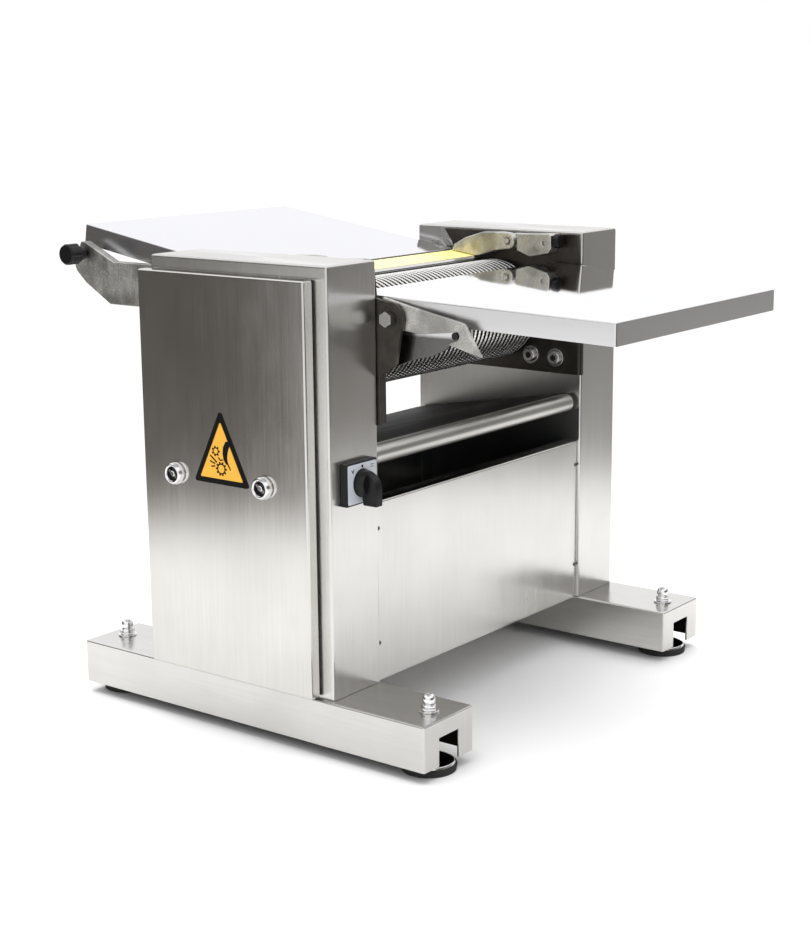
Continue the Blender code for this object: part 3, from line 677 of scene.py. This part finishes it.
def roller_mesh():
    """Rings of square-cut teeth with V grooves between them, and the shaft ends."""
    low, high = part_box("tooth_roller")
    radius = (high.z - low.z) / 2 / MM
    pitch = 2 * DRUM_HALF / RINGS
    tooth = ((0.0, 0.0), (0.55, 0.0), (0.66, TOOTH_CUT), (0.90, TOOTH_CUT))
    angles = [2 * math.pi * (t + part) / TEETH for t in range(TEETH) for part, _ in tooth]
    cuts = [cut for _ in range(TEETH) for _, cut in tooth]
    verts = []
    rows = 0
    for number in range(RINGS):
        start = -DRUM_HALF + number * pitch
        profile = [(0.0, RING_DEPTH, 0.0), (0.12, RING_DEPTH, 0.0)]
        profile += [(0.50, CREST_DROP, 1.0), (0.76, CREST_DROP, 1.0)]
        if number == RINGS - 1:
            profile.append((1.0, RING_DEPTH, 0.0))
        for along, drop, share in profile:
            x = (start + along * pitch) * MM
            for angle, cut in zip(angles, cuts):
                r = (radius - drop - cut * share) * MM
                verts.append((x, r * math.cos(angle), r * math.sin(angle)))
            rows += 1
    around = len(angles)
    faces = []
    for here in range(0, (rows - 1) * around, around):
        there = here + around
        for i in range(around):
            j = (i + 1) % around
            faces.append((here + i, there + i, there + j, here + j))
    bore = DRUM_BORE * MM
    for end, x in ((0, -DRUM_HALF), (rows - 1, DRUM_HALF)):
        first = len(verts)
        verts += [(x * MM, bore * math.cos(a), bore * math.sin(a)) for a in angles]
        for i in range(around):
            j = (i + 1) % around
            quad = (end * around + i, end * around + j, first + j, first + i)
            faces.append(quad if end else quad[::-1])
    mesh = bpy.data.meshes.new("toothed_drum")
    mesh.from_pydata(verts, [], faces)
    return mesh


def drum_steel():
    """Bright crests; painted shade makes the grooves dull and darker towards their bottom."""

    def build(g, place):
        _, y, z = g.parts(place)
        reach = g.math("SQRT", g.math("ADD", g.math("MULTIPLY", y, y), g.math("MULTIPLY", z, z)))
        depth = g.math("MULTIPLY_ADD", reach, 240.0, -14.9)
        film = g.noise(place, 90.0, 3.0, 0.6)
        # painted shade: below the crests the colour falls to near-black and the metal turns to a
        # matte dielectric
        crest = g.ramp(depth, (0.70, 0.0), (0.86, 1.0))
        base = g.mix(crest, (0.010, 0.0095, 0.009), (0.95, 0.94, 0.92))
        value = g.math("MULTIPLY_ADD", film, 0.15, 0.20)
        value = g.mix(crest, 0.85, value, "FLOAT")
        return base, value, film, 0.08, 0.0003, ("Metallic", crest)

    return shaded("drum_steel", build, 1.0, **{"Specular IOR Level": 0.05})


roller_axis = joint_at("roller_spin")
roller_place = Matrix.Translation(Vector((MIDDLE_X, roller_axis.y, roller_axis.z)))
shaft_low, shaft_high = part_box("tooth_roller")
shaft_left = (shaft_low.x - MIDDLE_X) / MM
shaft_right = (shaft_high.x - MIDDLE_X) / MM
drum = put("toothed_drum", roller_mesh(), drum_steel(), "roller", roller_place)
shaft_mesh = lathe_mesh(
    "roller_shaft",
    [
        (0, shaft_right),
        (SHAFT_RADIUS - SHAFT_CHAMFER, shaft_right),
        (SHAFT_RADIUS, shaft_right - SHAFT_CHAMFER),
        (SHAFT_RADIUS, shaft_left + SHAFT_CHAMFER),
        (SHAFT_RADIUS - SHAFT_CHAMFER, shaft_left),
        (0, shaft_left),
    ],
    48,
)
shaft_place = roller_place @ facing((0, 0, 0), (1, 0, 0))
put("roller_shaft", shaft_mesh, teeth_steel, "roller", shaft_place)
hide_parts("tooth_roller")

# ---------------------------------------------------------------- gear cover: hazard plate, locks

cover_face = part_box("gear_cover")[0].x
lock_front = joint_at("cover_lock_front_turn")
lock_rear = joint_at("cover_lock_rear_turn")
LABEL_WIDTH = 87.0
LABEL_HEIGHT = 88.0
label_origin = Vector((cover_face, (lock_front.y + lock_rear.y) / 2 - 0.004, lock_front.z - 0.005))
on_cover = Matrix.Translation(label_origin) @ Matrix(
    ((0, 0, -1, 0), (-1, 0, 0, 0), (0, 1, 0, 0), (0, 0, 0, 1))
)


def raised(step):
    return on_cover @ lifted(step)


def gear_outline(radius, teeth, tall):
    points = []
    for tooth in range(teeth):
        for part, rise in ((-0.30, 0.0), (-0.18, tall), (0.18, tall), (0.30, 0.0)):
            angle = 2 * math.pi * (tooth + part) / teeth
            points.append(((radius + rise) * math.cos(angle), (radius + rise) * math.sin(angle)))
    return points


def stripe(path, widths):
    """An outline that follows a path, wide at each point as listed."""
    left, right_side = [], []
    for index, (here, width) in enumerate(zip(path, widths)):
        a = Vector(path[max(0, index - 1)])
        b = Vector(path[min(len(path) - 1, index + 1)])
        side = (b - a).normalized().orthogonal() * (width / 2)
        left.append(tuple(Vector(here) + side))
        right_side.append(tuple(Vector(here) - side))
    return left + right_side[::-1]


def triangle(inset):
    half = LABEL_WIDTH / 2
    slope = math.atan2(LABEL_HEIGHT, half)
    shrink = inset / math.tan(slope / 2)
    tall = inset / math.sin(math.pi / 2 - slope)
    return [(-half + shrink, inset), (half - shrink, inset), (0, LABEL_HEIGHT - tall)]


border = plate_mesh("hazard_plate", [rounded(triangle(0), 3.0)], 0.4)
put("hazard_plate", border, black_print, "gear_cover", raised(0.02))
field = plate_mesh("hazard_field", [rounded(triangle(6.4), 1.2)], 0.12)
put("hazard_field", field, yellow_print, "gear_cover", raised(0.42))
hand = [(14.5, 50.5), (10.5, 48.5), (7.6, 43.0), (6.4, 36.5), (6.8, 30.5), (9.5, 25.0)]
pictogram = [
    [shifted(gear_outline(4.6, 7, 1.7), -8.0, 38.5), shifted(ring(3.3, 20), -8.0, 38.5)],
    [shifted(gear_outline(6.6, 10, 2.0), 0.0, 18.5), shifted(ring(4.9, 24), 0.0, 18.5)],
    [stripe(hand, [4.0, 8.0, 8.5, 7.5, 6.0, 3.2])],
    [stripe([(9.0, 27.5), (12.0, 22.5), (14.5, 18.5)], [2.2, 1.8, 1.6])],
    [stripe([(-17.0, 33.0), (-11.5, 29.0), (-6.5, 25.5)], [1.8, 2.0, 1.8])],
    [stripe([(-17.5, 26.5), (-12.5, 24.5), (-9.0, 24.0)], [1.6, 1.8, 1.6])],
    [stripe([(-15.5, 20.0), (-11.5, 20.5), (-9.5, 21.5)], [1.6, 1.6, 1.4])],
    [stripe([(-4.5, 31.5), (-1.0, 28.5), (3.0, 29.5)], [1.8, 1.8, 1.6])],
]
for number, loops in enumerate(pictogram):
    mark = plate_mesh(f"hazard_sign_{number}", loops, 0.1)
    put(f"hazard_sign_{number}", mark, black_print, "gear_cover", raised(0.54))

for row, centre in (("front", lock_front), ("rear", lock_rear)):
    housing = lathe_mesh(
        "lock_housing_" + row,
        [
            (0, 3.2), (8.0, 3.2), (8.4, 3.6), (8.6, 7.8), (9.2, 8.6), (10.2, 9.0),
            (11.2, 8.7), (12.3, 7.4), (13.0, 5.6), (13.3, 3.0), (13.3, 1.8),
            (12.3, 1.5), (12.3, 0.3), (4.4, 0.3), (4.4, -17.0), (0, -17.0),
        ],
        64,
        25.0,
    )
    place = facing(centre, (-1, 0, 0))
    body = "cover_lock_" + row
    outer = put("lock_housing_" + row, housing, chrome, body, place)
    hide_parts(body)
    # painted shade: the black well stands in for the shade in the lock's recess
    outline = [(0, 3.9), (7.8, 3.9), (8.2, 4.3), (8.35, 6.0), (8.5, 6.0), (8.5, 3.3), (0, 3.3)]
    well = lathe_mesh("lock_well_" + row, outline, 48)
    put("lock_well_" + row, well, black_plastic, body, place)
    pin = lathe_mesh("pin", [(0, 7.8), (2.6, 7.8), (3.2, 7.2), (3.2, 3.0), (0, 3.0)], 28)
    wings = plate_mesh("wings", [rounded(rectangle(-7.2, -1.7, 14.4, 3.4), 0.9, 3)], 3.6)
    wing_turn = lifted(3.4) @ Matrix.Rotation(math.radians(55), 4, "Z")
    bit = joined("lock_bit_" + row, (pin, Matrix.Identity(4)), (wings, wing_turn))
    put("lock_bit_" + row, bit, chrome, body, place)

# ---------------------------------------------------------------- rotary switch

SWITCH_PLATE_THICKNESS = 0.9
switch_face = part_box("switch_base")[0].y
switch_centre = joint_at("switch_turn")
switch_place = facing((switch_centre.x, switch_face, switch_centre.z), (0, -1, 0))
switch_outline = rounded(rectangle(-25, -22.5, 50, 45), 2.0)
plate = plate_mesh("switch_plate", [switch_outline, ring(16.2, 48)], SWITCH_PLATE_THICKNESS, 0.2)
put("switch_plate", plate, silver_print, "frame", switch_place)
switch_marks = [
    [shifted(ring(1.7, 16), 0.0, 19.0)],
    [stripe([(-18.8, 17.0), (-16.4, 13.2), (-14.8, 17.4)], [1.6, 1.8, 1.6])],
    [stripe([(14.8, 15.8), (20.5, 15.8)], [0.7, 0.7])],
    [stripe([(14.8, 18.4), (20.5, 18.4)], [0.7, 0.7])],
]
upside_down = switch_place.to_3x3().col[1].z < 0
mark_place = switch_place @ Matrix.Rotation(math.pi if upside_down else 0.0, 4, "Z")
mark_place = mark_place @ lifted(SWITCH_PLATE_THICKNESS)
for number, loops in enumerate(switch_marks):
    mark = plate_mesh(f"switch_mark_{number}", loops, 0.08)
    put(f"switch_mark_{number}", mark, black_print, "frame", mark_place)

# ---------------------------------------------------------------- warning band on the blade clamp

clamp_low, clamp_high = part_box("blade_clamp")
CLAMP_SLOPE = 0.136
BAND_DEPTH = 39.0
BAND_MARGIN = 4.0
band_width = (clamp_high.x - clamp_low.x) / MM - BAND_MARGIN
band_outline = rectangle(-band_width / 2, 0.0, band_width, BAND_DEPTH)
band = plate_mesh("warning_band", [rounded(band_outline, 1.5)], 0.15)
band_height = clamp_high.z - BAND_DEPTH * MM * CLAMP_SLOPE + 0.0001
band_front = Vector((MIDDLE_X, clamp_low.y + BAND_MARGIN * MM, band_height))
band_place = Matrix.Translation(band_front) @ Matrix.Rotation(math.atan(CLAMP_SLOPE), 4, "X")
put("warning_band", band, band_print, "blade_holder", band_place)

# ---------------------------------------------------------------- feet and fasteners


NUT_ACROSS = 15.8
NUT_HEIGHT = 7.0
NUT_TURN = 0.4
WASHER_TOP = 1.75
WASHER = [(5.2, 1.7), (11.4, 1.7), (11.8, 1.4), (11.8, 0.0), (5.2, 0.0), (5.2, 1.7)]
DOME = [(0, 21.2), (2.4, 20.9), (4.6, 19.9), (6.4, 18.1), (7.4, 15.8), (7.7, 13.4)]
DOME += [(7.7, 10.6), (6.8, 9.4), (6.8, 7.6), (0, 7.6)]
FOOT = [(0, 8.0), (30.2, 8.0), (31.4, 7.6), (32.0, 6.6), (31.9, 5.2)]
FOOT += [(31.0, 4.6), (31.4, 3.8), (31.2, 0.6), (30.6, 0.0), (0, 0.0)]


def dome_nut(name):
    """A flat washer, a hexagon and a dome."""
    radius = NUT_ACROSS / 2 / math.cos(math.pi / 6)
    washer = lathe_mesh("washer", WASHER, 48)
    hexed = plate_mesh("hex", [ring(radius, 6)], NUT_HEIGHT, 0.45)
    return joined(
        name,
        (washer, Matrix.Identity(4)),
        (hexed, lifted(WASHER_TOP) @ Matrix.Rotation(NUT_TURN, 4, "Z")),
        (lathe_mesh("dome", DOME, 40), Matrix.Identity(4)),
    )


def centre_of(name, height):
    low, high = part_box(name)
    return Matrix.Translation(Vector(((low.x + high.x) / 2, (low.y + high.y) / 2, height)))


for word in LEFT_RIGHT:
    for row in ("front", "rear"):
        corner = f"{row}_{word}"
        nut = dome_nut("dome_nut_" + corner)
        place = centre_of("cap_nut_" + corner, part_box("cap_nut_" + corner)[0].z)
        obj = put("dome_nut_" + corner, nut, chrome, "frame", place)
        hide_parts("cap_nut_" + corner)
        pad = lathe_mesh("foot_rubber_" + corner, FOOT, 80)
        place = centre_of("foot_pad_" + corner, 0.0)
        obj = put("foot_rubber_" + corner, pad, rubber, "foot_" + corner, place)
        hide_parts("foot_pad_" + corner)


BUTTON = [(0, 0.9), (0.9, 0.9), (1.1, 1.5), (1.7, 1.4), (2.3, 0.8), (2.6, 0.3)]
BUTTON += [(2.6, -0.6), (0, -0.6)]
CAP_SCREW = [(0, 7.6), (7.6, 7.6), (8.8, 6.4), (8.8, 2.4), (12.0, 2.3), (12.4, 1.9)]
CAP_SCREW += [(12.4, -0.5), (0, -0.5)]
SOCKET_REST = 7.58
BOLT_STANDOFF = 0.007  # the CAD bolt heads reach this far in from the bearing plate


def button_screw(name, centre, axis):
    put(name, lathe_mesh(name, BUTTON, 28), oil_steel, "frame", facing(centre, axis))


def socket_bolt(name, centre, axis):
    """Washer and cap screw; its hexagon socket is a thin black disc, painted shade for the socket's
    recess.
    """
    place = facing(centre, axis)
    put(name, lathe_mesh(name, CAP_SCREW, 40, 25.0), bolt_steel, "frame", place)
    # painted shade: a black hexagon disc stands in for the shaded socket recess
    socket = plate_mesh(name + "_socket", [ring(4.6, 6, 0.3)], 0.12)
    put(name + "_socket", socket, black_plastic, "frame", place @ lifted(SOCKET_REST))


for word, side in (("left", -1), ("right", 1)):
    low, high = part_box("bearing_plate_" + word)
    inner_face = (low.x + BOLT_STANDOFF) if side > 0 else (high.x - BOLT_STANDOFF)
    for number, (along, rise) in enumerate(((0.108, 0.023), (0.069, 0.022))):
        spot = (inner_face, low.y + along, low.z + rise)
        socket_bolt(f"plate_bolt_{word}_{number}", spot, (-side, 0, 0))

panel_low, panel_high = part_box("front_panel")
for column, x in (("left", panel_low.x + 0.0035), ("right", panel_high.x - 0.0035)):
    for row, z in (("upper", panel_high.z - 0.032), ("lower", panel_low.z + 0.044)):
        button_screw(f"panel_screw_{row}_{column}", (x, panel_low.y, z), (0, -1, 0))

# ---------------------------------------------------------------- floor, light and backdrop


def studio_floor():
    """White to the camera; to reflections a bright pool under the machine, dark further out."""
    mesh = bpy.data.meshes.new("studio_floor")
    bm = bmesh.new()
    bmesh.ops.create_circle(bm, cap_ends=True, segments=96, radius=12.0)
    bm.to_mesh(mesh)
    bm.free()
    floor = bpy.data.objects.new("studio_floor", mesh)
    bpy.context.scene.collection.objects.link(floor)
    material = bpy.data.materials.new("studio_floor")
    material.use_nodes = True
    g = Graph(material.node_tree)
    place = g.add("ShaderNodeTexCoord").outputs["Object"]
    far = g.math("DIVIDE", g.vector("LENGTH", place, output="Value"), 4.0)
    heading = g.vector("NORMALIZE", place)
    heading = g.vector("DOT_PRODUCT", heading, (0.93, -0.37, 0.0), "Value")
    forward = g.ramp(heading, (0.88, 0.0), (0.98, 1.0))
    dim_floor = g.mix(forward, (0.10, 0.092, 0.084), (0.30, 0.295, 0.285))
    edge = g.ramp(far, (0.275, 1.0), (0.305, 0.84), (0.335, 0.52), (0.365, 0.20), (0.42, 0.0))
    x, y, _ = g.parts(place)
    across = g.math("MULTIPLY_ADD", x, 0.82, g.math("ADD", y, 0.305))
    flank = g.ramp(g.math("ADD", across, 0.5), (0.37, 1.0), (0.46, 0.0))
    leftwards = g.ramp(g.math("MULTIPLY", x, -1.0), (0.3, 0.0), (0.7, 1.0))
    flank = g.math("MULTIPLY", flank, leftwards)
    pool = g.mix(g.math("MAXIMUM", edge, flank), dim_floor, (0.77, 0.77, 0.765))
    lit = g.add("ShaderNodeBsdfDiffuse", {"Color": (0.93, 0.93, 0.94, 1.0)})
    dim = g.add("ShaderNodeBsdfDiffuse", {"Color": pool})
    white = g.add("ShaderNodeEmission", {"Color": (*WHITE, 1.0), "Strength": 1.05})
    away = g.ramp(far, (0.13, 0.0), (0.30, 1.0))
    shown = g.add("ShaderNodeMixShader", {0: away, 1: lit.outputs[0], 2: white.outputs[0]})
    seen = g.add("ShaderNodeLightPath").outputs["Is Camera Ray"]
    both = g.add("ShaderNodeMixShader", {0: seen, 1: dim.outputs[0], 2: shown.outputs[0]})
    g.add("ShaderNodeOutputMaterial", {"Surface": both.outputs[0]})
    mesh.materials.append(material)
    floor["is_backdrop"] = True


def studio_world():
    """White to the camera; round the object a bright back wall, a left softbox and dark corners."""
    world = bpy.data.worlds.new("studio")
    bpy.context.scene.world = world
    world.use_nodes = True
    g = Graph(world.node_tree)
    direction = g.add("ShaderNodeTexCoord").outputs["Generated"]
    x, y, z = g.parts(direction)
    height = g.math("MULTIPLY_ADD", z, 0.5, 0.5)

    def towards(dx, dy):
        size = math.hypot(dx, dy)
        flat = g.math("ADD", g.math("MULTIPLY", x, dx / size), g.math("MULTIPLY", y, dy / size))
        length = g.math("ADD", g.math("MULTIPLY", x, x), g.math("MULTIPLY", y, y))
        return g.math("DIVIDE", flat, g.math("MAXIMUM", g.math("SQRT", length), 0.001))

    behind = g.ramp(towards(1.0, 0.8), (0.45, 0.0), (0.72, 1.0))
    wall = g.math("MULTIPLY", behind, g.ramp(height, (0.495, 0.0), (0.51, 1.0)))
    left = g.ramp(towards(-1.0, -0.35), (0.62, 0.0), (0.80, 1.0))
    tall = g.ramp(height, (0.40, 0.0), (0.42, 1.0), (0.78, 1.0), (0.82, 0.0))
    box = g.math("MULTIPLY", left, tall)
    front = g.ramp(towards(0.85, -0.5), (0.55, 0.0), (0.9, 1.0))
    top = g.ramp(height, (0.66, 0.0), (0.76, 1.0))
    colour = g.mix(front, (0.105, 0.096, 0.086), (0.27, 0.26, 0.25))
    colour = g.mix(wall, colour, (1.05, 1.05, 1.06))
    colour = g.mix(box, colour, WHITE)
    colour = g.mix(top, colour, (1.15, 1.15, 1.15))
    paths = g.add("ShaderNodeLightPath").outputs
    zenith = g.ramp(height, (0.915, 0.0), (0.965, 1.0))
    zenith = g.math("MULTIPLY", zenith, paths["Is Glossy Ray"])
    drift = g.math("MULTIPLY_ADD", x, 0.9, g.math("MULTIPLY_ADD", y, 0.7, 0.5))
    overhead = g.mix(drift, (0.40, 0.405, 0.42), (0.72, 0.72, 0.73))
    colour = g.mix(zenith, colour, overhead)
    colour = g.mix(paths["Is Camera Ray"], colour, WHITE)
    sky = g.add("ShaderNodeBackground", {"Color": colour, "Strength": 1.0})
    g.add("ShaderNodeOutputWorld", {"Surface": sky.outputs[0]})


def overhead_softbox():
    """A large soft light over the machine, seen neither directly nor in reflections."""
    data = bpy.data.lights.new("overhead", "AREA")
    data.shape = "SQUARE"
    data.size = 3.0
    data.energy = 75.0
    light = bpy.data.objects.new("overhead", data)
    light.location = (0.1, 0.2, 2.6)
    light.rotation_euler = (-light.location).to_track_quat("-Z", "Y").to_euler()
    light.visible_camera = False
    light.visible_glossy = False
    bpy.context.scene.collection.objects.link(light)


studio_floor()
studio_world()
overhead_softbox()
bpy.context.scene.view_settings.view_transform = "Standard"

low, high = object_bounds()
